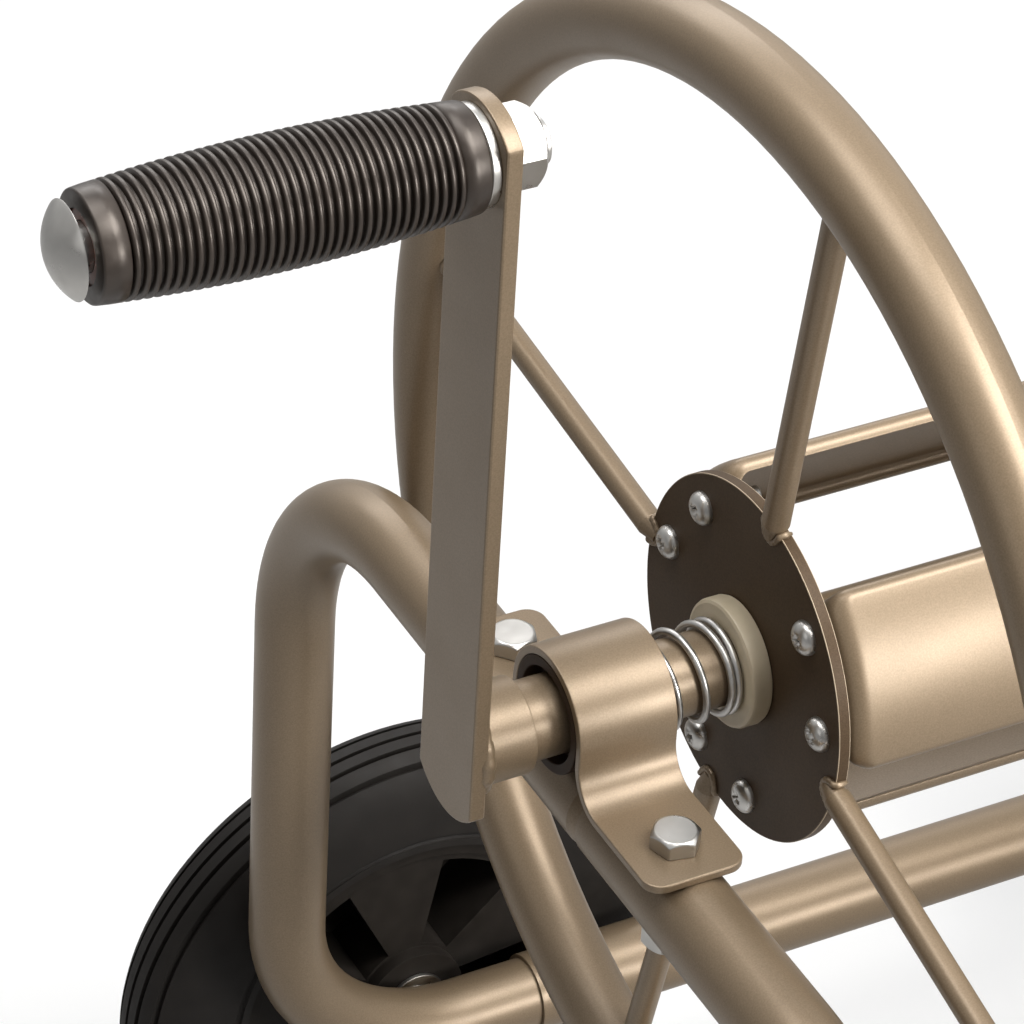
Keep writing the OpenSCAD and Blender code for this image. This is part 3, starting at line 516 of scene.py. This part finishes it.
def swept(bm, path, radii, sides, closed=False):
    """Carry a circle along a path, with its own radius at each point."""
    rings = []
    count = len(path)
    for i, (point, radius) in enumerate(zip(path, radii)):
        before = path[i - 1] if closed or i else path[0]
        after = path[(i + 1) % count] if closed or i < count - 1 else path[-1]
        along = (after - before).normalized()
        if not rings:
            side = along.orthogonal().normalized()
        side = (side - along * side.dot(along)).normalized()
        up = along.cross(side)
        angles = (2 * math.pi * k / sides for k in range(sides))
        rings.append([
            bm.verts.new(point + (side * math.cos(a) + up * math.sin(a)) * radius)
            for a in angles
        ])
    if closed:
        # The circle may have turned on its way round, so its nearest corner is found.
        shift = min(range(sides), key=lambda k: (rings[0][k].co - rings[-1][0].co).length)
        join_rings(bm, rings, closed=False)
        join_rings(bm, [rings[-1], rings[0][shift:] + rings[0][:shift]], closed=False)
    else:
        join_rings(bm, rings, closed=False)
        bm.faces.new(rings[0][::-1])
        bm.faces.new(rings[-1])


def finish_piece(name, bm, material, body, replaced=None, *, sharp):
    """Make the bmesh one smooth piece with crisp edges, and let it ride on a body."""
    bmesh.ops.recalc_face_normals(bm, faces=bm.faces)
    piece = piece_from_bmesh(name, bm, material)
    piece.data.set_sharp_from_angle(angle=math.radians(sharp))
    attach(piece, body)
    if replaced:
        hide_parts(replaced)
    print(name, "rides on", body, "with", len(piece.data.polygons), "faces")
    return piece


def toward(direction, origin):
    """A place at origin whose Z axis points in that direction."""
    turn = Vector(direction).to_track_quat("Z", "Y").to_matrix().to_4x4()
    return Matrix.Translation(origin) @ turn


def middle(name):
    """The middle of a CAD node's box."""
    low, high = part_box(name)
    return (low + high) / 2


print("shape tools ready")

# %% [markdown]
# ## The grip
# The crank's grip is a moulded rubber tube, a little fuller in the middle, with close
# round ribs and a smooth band at each end. A lathe outline gives every rib its own round
# crest and narrow valley, which shade better than ribs drawn only as a bump.

# %% Grip
def grip_outline(length, widest, bore):
    """The skin from the arm's end outwards, then back along the bore, in metres."""
    swell, band, edge = 3.2 * MM, 9 * MM, 0.9 * MM
    rib_count, rib_deep, rib_round = 34, 2.2 * MM, 0.55 * MM
    crest = 0.56  # a rib's share of the pitch

    def skin(height):
        return widest - swell * (2 * height / length - 1) ** 2

    def soft_end(height, flip):
        steps = [math.radians(a) for a in (0, 30, 60, 90)]
        return [
            (skin(height) - edge * (1 - math.sin(a)), height + flip * edge * (1 - math.cos(a)))
            for a in steps
        ]

    outline = [(bore, 0.0)] + soft_end(0, 1)
    outline += [(skin(band * 0.5), band * 0.5), (skin(band) - 0.1 * MM, band - 0.4 * MM)]
    pitch = (length - 2 * band) / rib_count
    for rib in range(rib_count):
        for across in (-1, -0.82, -0.55, -0.2, 0.2, 0.55, 0.82, 1):
            height = band + (rib + 0.5 + across * crest / 2) * pitch
            sunk = rib_round * (1 - math.sqrt(1 - across * across))
            if abs(across) == 1:
                sunk = rib_deep
            outline.append((skin(height) - sunk, height))
    outline += [(skin(length - band) - 0.1 * MM, length - band + 0.4 * MM)]
    outline += [(skin(length - band * 0.5), length - band * 0.5)]
    outline += soft_end(length, -1)[::-1] + [(bore, length)]
    return outline


grip_low, grip_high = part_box("crank_grip")
sleeve_low, sleeve_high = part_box("grip_sleeve")
grip_axis = middle("crank_grip")
grip_size, sleeve_size = grip_high - grip_low, sleeve_high - sleeve_low
outline = grip_outline(grip_size.x, grip_size.z / 2, sleeve_size.z / 2)
bm = bmesh.new()
turned(bm, outline, toward((-1, 0, 0), (grip_high.x, grip_axis.y, grip_axis.z)), segments=80)
finish_piece("ribbed_grip", bm, grip_rubber, "grip", "crank_grip", sharp=70)

# %% [markdown]
# ## The drum panels
# Three pressed steel trays make the drum that the hose winds on. A press gives a tray a
# curved face, round edges, rounded corners and side walls. The tray is laid out
# flat as rings round a rounded rectangle, from the walls' edges over the round to the
# middle of the face, and each point is then wrapped on the crown's cylinder.

# %% Outline of a tray
def tray_outline(half_l, half_w, corner, steps=8):
    """Places and outward directions round a rounded rectangle."""
    outline = []
    for quarter in range(4):
        long_side = (half_l - corner) * (1, -1, -1, 1)[quarter]
        short_side = (half_w - corner) * (1, 1, -1, -1)[quarter]
        for k in range(steps + 1):
            a = math.radians(90 * (quarter + k / steps))
            outward = (math.cos(a), math.sin(a))
            place = (long_side + corner * outward[0], short_side + corner * outward[1])
            outline.append((*place, *outward))
        if quarter in (1, 3):
            way = -1 if quarter == 1 else 1
            for k in range(1, steps):
                across = way * (half_w - corner) * (2 * k / steps - 1)
                outline.append((way * half_l, across, way, 0.0))
    return outline


# %% Drum panels
def drum_tray(bm, angle, low_x, high_x):
    """A tray between two places along X, turned by that angle about the axle."""
    crown_r, half_w, edge_r, corner_r = 95 * MM, 33.7 * MM, 69 * MM, 10 * MM
    half_chord = crown_r * math.sin(half_w / crown_r)
    shift = math.sqrt(edge_r ** 2 - half_chord ** 2) - crown_r * math.cos(half_w / crown_r)
    end_round, side_round, end_deep, side_deep = 9 * MM, 4.2 * MM, 25 * MM, 5 * MM
    radial = Vector((0, math.cos(angle), math.sin(angle)))
    tangent = Vector((0, -math.sin(angle), math.cos(angle)))
    centre = Vector(((low_x + high_x) / 2, hub.y, hub.z))

    def wrap(along, across, deep):
        turn = across / crown_r
        out = shift + (crown_r - deep) * math.cos(turn)
        side = (crown_r - deep) * math.sin(turn)
        return centre + Vector((along, 0, 0)) + radial * out + tangent * side

    outline = tray_outline((high_x - low_x) / 2, half_w, corner_r)
    rings = []
    for share in (1.0, 0.66, 0.33):
        side_wall = side_round + (side_deep - side_round) * share
        end_wall = end_round + (end_deep - end_round) * share
        rings.append([wrap(u, v, side_wall * b * b + end_wall * a * a) for u, v, a, b in outline])
    for step in range(9):
        turn = math.pi / 2 * (1 - step / 8)
        inset, drop = 1 - math.sin(turn), 1 - math.cos(turn)
        face = [
            (u - a * end_round * inset, v - b * side_round * inset) for u, v, a, b in outline
        ]
        rings.append([
            wrap(u, v, (end_round * a * a + side_round * b * b) * drop)
            for (u, v), (_, _, a, b) in zip(face, outline)
        ])
    for step in range(1, 9):
        done = step / 8
        rings.append([
            wrap(u - math.copysign(half_w * done, u), v * (1 - done), 0) for u, v in face
        ])
    join_rings(bm, [[bm.verts.new(point) for point in ring] for ring in rings], closed=False)
    bmesh.ops.remove_doubles(bm, verts=bm.verts, dist=0.01 * MM)


FIRST_TRAY, TRAYS_APART = 35, 120
for number, name in enumerate(("drum_panel_far", "drum_panel_near", "drum_panel_low")):
    low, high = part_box(name)
    bm = bmesh.new()
    drum_tray(bm, math.radians(FIRST_TRAY + TRAYS_APART * number), low.x, high.x)
    bmesh.ops.recalc_face_normals(bm, faces=bm.faces)
    from_axle = [Vector((0, *(f.calc_center_median() - hub).yz)) for f in bm.faces]
    if sum(f.normal.dot(way) for f, way in zip(bm.faces, from_axle)) < 0:
        bmesh.ops.reverse_faces(bm, faces=bm.faces)
    tray = piece_from_bmesh(name.replace("drum_panel", "drum_tray"), bm, bronze_paint)
    sheet = tray.modifiers.new("sheet", "SOLIDIFY")
    sheet.thickness, sheet.offset = 1.6 * MM, -1
    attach(tray, "reel")
    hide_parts(name)
print("drum trays: 3")

# %% [markdown]
# ## Hub screws
# Each drum panel is held by pan-head screws with a cross recess. One screw is turned and
# its recess is cut with two tapered bars. It is then copied to each CAD screw, each
# at its own angle, as hand-driven screws are. The nuts behind keep their CAD shape.

# %% One screw
def tapered_bar(long, wide, deep, taper):
    """A bar that narrows downwards from z = deep to z = 0, as a cutter for a recess."""
    bm = bmesh.new()
    rings = []
    for height, share in ((0, taper), (deep, 1)):
        x, y = long / 2 * share, wide / 2 * (0.75 + 0.25 * share)
        corners = ((-x, -y), (x, -y), (x, y), (-x, y))
        rings.append([bm.verts.new((*corner, height)) for corner in corners])
    join_rings(bm, rings, closed=False)
    bm.faces.new(rings[0][::-1])
    bm.faces.new(rings[1])
    bmesh.ops.recalc_face_normals(bm, faces=bm.faces)
    return piece_from_bmesh("recess bar", bm, smooth=False)


def cross_screw(head_r, head_h, shank_r, length):
    """A screw whose head sits on z = 0 and whose shank hangs below, as a mesh."""
    bm = bmesh.new()
    dome = [math.radians(a) for a in (75, 60, 45, 30, 18, 8, 0)]
    tip = 0.8 * MM
    outline = [(0.0, head_h)]
    outline += [(head_r * math.cos(a) ** 0.9, head_h * math.sin(a) ** 0.8) for a in dome]
    outline += [(head_r - 0.3 * MM, 0.0), (shank_r, 0.0), (shank_r, tip - length)]
    outline += [(shank_r - tip, -length), (0.0, -length)]
    turned(bm, outline, Matrix.Identity(4), 40)
    bmesh.ops.recalc_face_normals(bm, faces=bm.faces)
    screw = piece_from_bmesh("one screw", bm)
    cutters, recess_deep = [], 2.6 * MM
    for turn in (0, 90):
        bar = tapered_bar(7.6 * MM, 2.1 * MM, 4 * MM, 0.12)
        bar.location.z = head_h - recess_deep
        bar.rotation_euler.z = math.radians(turn)
        cutters.append(bar)
        cut = screw.modifiers.new("recess", "BOOLEAN")
        cut.operation, cut.solver, cut.object = "DIFFERENCE", "EXACT", bar
    evaluated = screw.evaluated_get(bpy.context.evaluated_depsgraph_get())
    mesh = bpy.data.meshes.new_from_object(evaluated)
    for helper in cutters + [screw]:
        bpy.data.objects.remove(helper)
    return mesh


def solids_of(name):
    """A CAD node as a bmesh, and the corners of each of its solids in the mesh's order."""
    bm = bmesh.new()
    bm.from_mesh(nodes[name].data)
    bmesh.ops.remove_doubles(bm, verts=bm.verts, dist=0.01 * MM)
    seen, solids = set(), []
    for start in bm.verts:
        if start in seen:
            continue
        seen.add(start)
        solid = [start]
        for corner in solid:
            near = [link.other_vert(corner) for link in corner.link_edges]
            fresh = [other for other in near if other not in seen]
            seen.update(fresh)
            solid += fresh
        solids.append(solid)
    return bm, solids


def extent(corners):
    """The box round some corners."""
    low = Vector([min(c.co[i] for c in corners) for i in range(3)])
    high = Vector([max(c.co[i] for c in corners) for i in range(3)])
    return low, high


HEAD_H, SHANK_R = 4.4 * MM, 3 * MM
LONGEST_NUT = 15 * MM
bm, solids = solids_of("hub_screws")
boxes = [extent(solid) for solid in solids]
screw_boxes = [(low, high) for low, high in boxes if high.x - low.x > LONGEST_NUT]
screw_size = screw_boxes[0][1] - screw_boxes[0][0]
screw_mesh = cross_screw(screw_size.z / 2, HEAD_H, SHANK_R, screw_size.x - HEAD_H)
print("screws:", len(screw_boxes), "length", round(screw_size.x / MM, 1), "mm")

# %% All the hub screws
for solid, (low, high) in zip(solids, boxes):
    if high.x - low.x > LONGEST_NUT:
        bmesh.ops.delete(bm, geom=list(solid), context="VERTS")
for number, (low, high) in enumerate(screw_boxes):
    outward = -1 if low.x < 0 else 1
    face_x = (low.x if outward < 0 else high.x) - outward * HEAD_H
    place = toward((outward, 0, 0), (face_x, *((low + high) / 2).yz))
    copy = screw_mesh.copy()
    copy.transform(place @ Matrix.Rotation(math.radians(37 * number + 20), 4, "Z"))
    bm.from_mesh(copy)
finish_piece("cross_screws", bm, zinc_plate, "reel", "hub_screws", sharp=35)

# %% [markdown]
# ## The brake spring
# A coil of spring wire presses the nylon washer on the hub plate, so that the reel doesn't
# run on. The wire starts flat on the washer and then climbs evenly to the bearing. A circle
# swept along that helix gives a round wire from any side.

# %% Brake spring
spring_low, spring_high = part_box("brake_spring")
wire_r, coil_r = 1.35 * MM, 16.6 * MM
start_angle, closed_turns, open_turns, steps = 247, 1.3, 2.2, 48
start_x, end_x = spring_high.x - wire_r, spring_low.x + wire_r
rise = 2 * wire_r * 1.02
path = []
for i in range(round((closed_turns + open_turns) * steps) + 1):
    turn = i / steps
    angle = math.radians(start_angle - 360 * turn)
    closed_x = start_x - min(turn, closed_turns) * rise
    open_share = max(turn - closed_turns, 0) / open_turns
    x = closed_x - open_share * (start_x - closed_turns * rise - end_x)
    path.append(Vector((x, hub.y + coil_r * math.cos(angle), hub.z + coil_r * math.sin(angle))))
radii = [wire_r] * len(path)
radii[0] = radii[-1] = wire_r * 0.8
bm = bmesh.new()
swept(bm, path, radii, sides=16)
finish_piece("coil_spring", bm, spring_steel, "reel", "brake_spring", sharp=50)

# %% [markdown]
# ## Weld beads
# Spokes, hoops, plates and brackets are welded before they are painted, so each joint has
# a raised, slightly lumpy fillet under the same paint. Each bead is a swept circle half
# sunk in the joint, whose radius swells and shrinks as the welder's small pools do.

# %% Weld beads
def bead(bm, path, radius, closed=False):
    """A weld bead of small pools along a path, thin at its open ends."""
    count = len(path)
    radii = []
    for i in range(count):
        pool = 1 + 0.10 * math.sin(i * 1.9) + 0.05 * math.sin(i * 4.3 + 1)
        open_end = 1 if closed else min(1, 0.45 + 0.3 * min(i, count - 1 - i))
        radii.append(radius * pool * open_end)
    swept(bm, path, radii, sides=10, closed=closed)


def smooth_path(points, steps=5):
    """A curve through the points, by the Catmull-Rom rule."""
    ends = [points[0] * 2 - points[1], *points, points[-1] * 2 - points[-2]]
    path = []
    for a, b, c, d in zip(ends, ends[1:], ends[2:], ends[3:]):
        for k in range(steps):
            t = k / steps
            bend = 2 * a - 5 * b + 4 * c - d
            twist = 3 * b - a - 3 * c + d
            path.append(0.5 * (2 * b + (c - a) * t + bend * t * t + twist * t ** 3))
    return path + [points[-1]]


print("weld tools ready")

# %% Welds of the reel
hoop_low, hoop_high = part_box("front_rim")
plate_size, hoop_size = plate_high - plate_low, hoop_high - hoop_low
plate_r, hoop_tube_r = plate_size.z / 2, hoop_size.x / 2
hoop_r = hoop_size.z / 2 - hoop_tube_r
FIRST_SPOKE, SPOKE_R = 10.5, 5.2 * MM
spoke_angles = [math.radians(FIRST_SPOKE + 90 * i) for i in range(4)]


def reel_point(end, angle, out, across, x):
    """A point of a joint: out along the spoke, across it, and x from the plate's face."""
    low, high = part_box(f"{end}_hub_plate")
    face_x = low.x + x if end == "front" else high.x - x
    radial = Vector((0, math.cos(angle), math.sin(angle)))
    side = Vector((0, -math.sin(angle), math.cos(angle)))
    return Vector((face_x, hub.y, hub.z)) + radial * out + side * across


# Half of a bead round a spoke's end: in from the plate's edge, and across the spoke.
half_bead = [(3.0, 4.2), (5.4, 2.4)]
for end in ends:
    bm = bmesh.new()
    low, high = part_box(f"{end}_rim")
    plate_low, plate_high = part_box(f"{end}_hub_plate")
    hoop_x = (low.x + high.x) / 2
    hoop_in = hoop_x - plate_low.x if end == "front" else plate_high.x - hoop_x
    for angle in spoke_angles:
        edge, raised = plate_r + 0.1 * MM, -0.3 * MM
        loop = [(edge, -SPOKE_R, plate_size.x), (edge, -SPOKE_R, 0)]
        loop += [(edge - inwards * MM, -across * MM, raised) for inwards, across in half_bead]
        loop += [(edge - 6 * MM, 0, raised)]
        loop += [(edge - inwards * MM, across * MM, raised) for inwards, across in half_bead[::-1]]
        loop += [(edge, SPOKE_R, 0), (edge, SPOKE_R, plate_size.x)]
        bead(bm, smooth_path([reel_point(end, angle, *place) for place in loop]), 1.3 * MM)
        ring = []
        for k in range(40):
            a = 2 * math.pi * k / 40
            inward = SPOKE_R * math.sin(a)
            out = hoop_r - math.sqrt(hoop_tube_r ** 2 - inward ** 2) - 0.2 * MM
            ring.append(reel_point(end, angle, out, SPOKE_R * math.cos(a), hoop_in + inward))
        bead(bm, ring, 1.5 * MM, closed=True)
    finish_piece(f"{end}_reel_welds", bm, bronze_paint, "reel", sharp=80)

# %% Welds of the crank
# The arm and its collar are one node, so the arm's back is found well above the collar.
arm = nodes["crank_arm"]
arm_points = [arm.matrix_world @ v.co for v in arm.data.vertices]
axle_mid = middle("reel_axle")
arm_back = max(p.x for p in arm_points if p.z > axle_mid.z + 60 * MM)
weld_mid = Vector((arm_back + 0.4 * MM, axle_mid.y, axle_mid.z))
collar_r = 17.5 * MM
ring = []
for k in range(64):
    a = 2 * math.pi * k / 64
    ring.append(weld_mid + Vector((0, math.cos(a), math.sin(a))) * collar_r)
bm = bmesh.new()
bead(bm, ring, 3.0 * MM, closed=True)
finish_piece("crank_weld", bm, bronze_paint, "reel", sharp=80)

# %% Welds of the handle brackets
bracket_low, bracket_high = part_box("handle_brackets")
tube_low, tube_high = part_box("rear_loop_left")
tube_r = 16 * MM
bracket_y = max(abs(bracket_low.y), abs(bracket_high.y))
tube_y = max(abs(tube_low.y), abs(tube_high.y)) - tube_r
off_middle = bracket_y - tube_y
weld_x = tube_high.x - tube_r + math.sqrt(max(tube_r ** 2 - off_middle ** 2, 0))
weld_low, weld_high = bracket_low.z + 2 * MM, bracket_high.z - 2 * MM
bm = bmesh.new()
for side in (-1, 1):
    for face in (-1, 1):
        y = side * (tube_y + face * off_middle)
        heights = [weld_low + k / 29 * (weld_high - weld_low) for k in range(30)]
        bead(bm, [Vector((weld_x, y, z)) for z in heights], 1.6 * MM)
finish_piece("bracket_welds", bm, bronze_paint, "frame", sharp=80)

# %% [markdown]
# ## The foam sleeve
# A sleeve of closed-cell foam is pushed over the handle's crossbar. It grips the tube, so
# it stays put, and its cut ends are rounded by use. The outline is turned as a soft form
# that draws in a little at its ends, where the foam is free to shrink.

# %% Foam sleeve
foam_low, foam_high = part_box("handle_foam")
foam_size = foam_high - foam_low
foam_r, foam_l, bore_r = foam_size.x / 2, foam_size.y, 12.6 * MM
end_flat, end_round, end_l = 5 * MM, 4.6 * MM, 6 * MM
end = [(bore_r, 0.0), (foam_r - end_flat, 0.0)]
for a in (0.4, 0.8, 1.2, 1.57):
    radius = foam_r - end_flat + end_round * math.sin(a)
    end.append((radius, end_round * (1 - math.cos(a))))
outline, rows = end[:], 40
for row in range(1, rows):
    share = row / rows
    crush = 0.25 * MM * math.sin(share * 9.0) ** 2 + 0.4 * MM * (abs(2 * share - 1) ** 6)
    outline.append((foam_r - crush, end_l + share * (foam_l - 2 * end_l)))
outline += [(radius, foam_l - height) for radius, height in end[::-1]]
foam_mid = middle("handle_foam")
bm = bmesh.new()
turned(bm, outline, toward((0, 1, 0), (foam_mid.x, foam_low.y, foam_mid.z)), segments=72)
sleeve = finish_piece("foam_sleeve", bm, foam, "handle", "handle_foam", sharp=70)

# %% [markdown]
# ## Finish
# The CAD box and the dressed box are written down, to show that the details stay inside
# the real size.

# %% Sizes and finish
low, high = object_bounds()
print("visual box:", [round(v, 4) for v in (*low, *high)])
